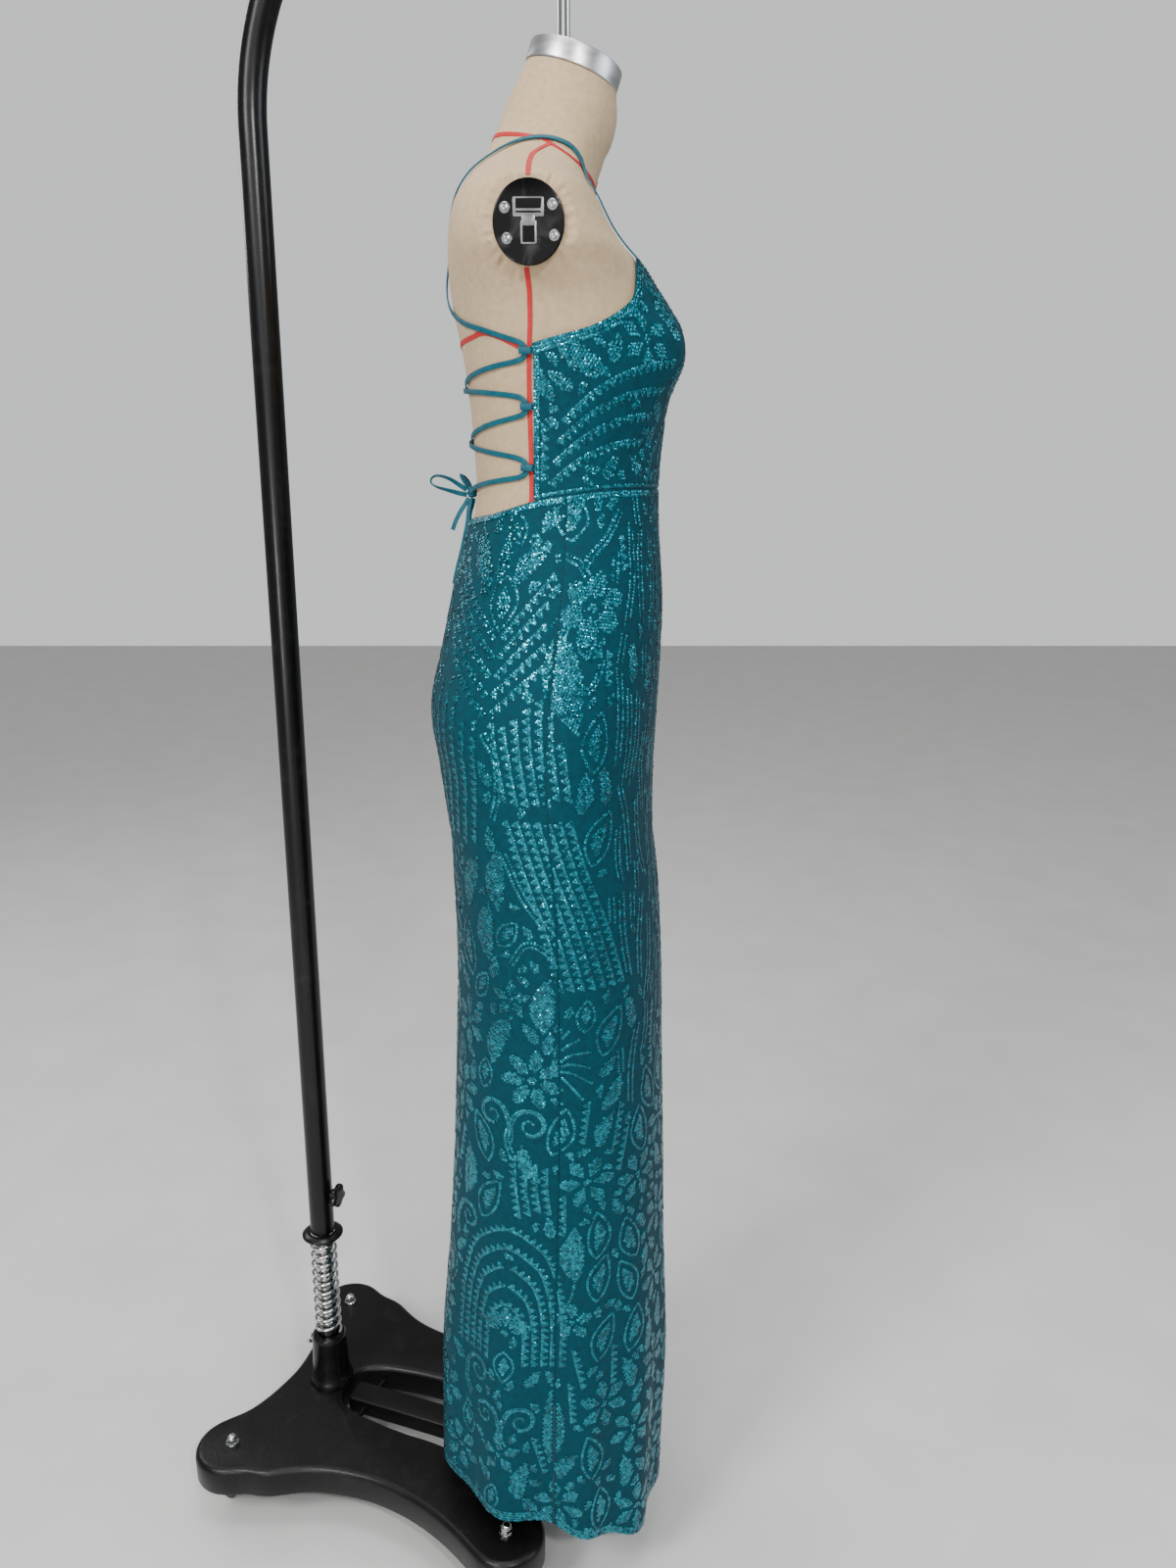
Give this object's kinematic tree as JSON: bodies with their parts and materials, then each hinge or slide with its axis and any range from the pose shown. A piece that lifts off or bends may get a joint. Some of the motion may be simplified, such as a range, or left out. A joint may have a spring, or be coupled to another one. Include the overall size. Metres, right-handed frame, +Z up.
{
  "type": "evening gown on dress form with gallows stand",
  "caption": "Sequinned sheath gown with laced open back on a limbless dress form hung from a wheeled gallows stand.",
  "frame": {"origin": "on the floor, at the middle of the model's box", "axes": "+Z up, the gown's front faces -Y, the wearer's right is -X"},
  "size_m": [0.5014, 0.6096, 1.9705],
  "materials": {
    "gown_sequin": "stretch mesh with sewn sequin motifs",
    "gown_lace": "turned satin tube, pressed flat",
    "canvas": "fine cream canvas over padding",
    "arm_plate": "polished black nickel",
    "neck_cap": "circular brushed",
    "stand_black": "satin black powder coat",
    "base_iron": "casting under satin black paint",
    "bright_steel": "chrome plated",
    "castor_fork": "zinc plated pressing",
    "castor_tyre": "moulded wheel"
  },
  "bodies": {
    "base": {"base_plate": "base_iron", "socket": "stand_black", "set_bolt": "bright_steel", "inner_tube": "bright_steel", "spring": "bright_steel", "foot_bolt_1": "bright_steel", "foot_bolt_2": "bright_steel", "foot_bolt_3": "bright_steel", "foot_bolt_4": "bright_steel"},
    "column": {"skirt_front": "gown_sequin", "skirt_back": "gown_sequin", "bodice_front": "gown_sequin", "loop_tab_right_1": "gown_lace", "loop_tab_right_2": "gown_lace", "loop_tab_right_3": "gown_lace", "loop_tab_left_1": "gown_lace", "loop_tab_left_2": "gown_lace", "loop_tab_left_3": "gown_lace", "strap_lace_left": "gown_lace", "strap_lace_right": "gown_lace", "bow_knot": "gown_lace", "bow_loop_out": "gown_lace", "bow_loop_side": "gown_lace", "bow_end_short": "gown_lace", "bow_tail_near": "gown_lace", "bow_tail_far": "gown_lace", "form_torso": "canvas", "arm_plate_right": "arm_plate", "arm_plate_left": "arm_plate", "neck_cap": "neck_cap", "gallows_tube": "stand_black", "arm_end_cap": "stand_black", "collar": "stand_black", "star_knob": "stand_black", "hanging_rod": "bright_steel"},
    "pedal": {"pedal": "stand_black"},
    "castor_1": {"castor_fork_1": "castor_fork"},
    "wheel_1": {"castor_wheel_1": "castor_tyre"},
    "castor_2": {"castor_fork_2": "castor_fork"},
    "wheel_2": {"castor_wheel_2": "castor_tyre"},
    "castor_3": {"castor_fork_3": "castor_fork"},
    "wheel_3": {"castor_wheel_3": "castor_tyre"},
    "castor_4": {"castor_fork_4": "castor_fork"},
    "wheel_4": {"castor_wheel_4": "castor_tyre"}
  },
  "joints": [
    {"name": "height", "type": "slide", "parent": "base", "child": "column", "axis": [0, 0, 1], "range_m": [0, 0.15]},
    {"name": "pedal_tip", "type": "hinge", "parent": "base", "child": "pedal", "pos_m": [0.02543, 0.09448, 0.07], "axis": [0.9394, -0.3428, 0], "range_deg": [0, 6], "stiffness_Nm_per_rad": 8, "springref_deg": -6.88},
    {"name": "castor_1_turn", "type": "hinge", "parent": "base", "child": "castor_1", "pos_m": [-0.06964, 0.25692, 0.05], "axis": [0, 0, 1], "continuous": true},
    {"name": "wheel_1_roll", "type": "hinge", "parent": "castor_1", "child": "wheel_1", "pos_m": [-0.05999, 0.2684, 0.02], "axis": [-0.7655, 0.6435, 0], "continuous": true},
    {"name": "castor_2_turn", "type": "hinge", "parent": "base", "child": "castor_2", "pos_m": [0.20279, 0.15749, 0.05], "axis": [0, 0, 1], "continuous": true},
    {"name": "wheel_2_roll", "type": "hinge", "parent": "castor_2", "child": "wheel_2", "pos_m": [0.2028, 0.17249, 0.02], "axis": [-1, 0.0009, 0], "continuous": true},
    {"name": "castor_3_turn", "type": "hinge", "parent": "base", "child": "castor_3", "pos_m": [-0.20275, -0.11073, 0.05], "axis": [0, 0, 1], "continuous": true},
    {"name": "wheel_3_roll", "type": "hinge", "parent": "castor_3", "child": "wheel_3", "pos_m": [-0.20146, -0.12567, 0.02], "axis": [0.9963, 0.0863, 0], "continuous": true},
    {"name": "castor_4_turn", "type": "hinge", "parent": "base", "child": "castor_4", "pos_m": [0.0678, -0.20947, 0.05], "axis": [0, 0, 1], "continuous": true},
    {"name": "wheel_4_roll", "type": "hinge", "parent": "castor_4", "child": "wheel_4", "pos_m": [0.0548, -0.21696, 0.02], "axis": [0.4992, -0.8665, 0], "continuous": true}
  ]
}
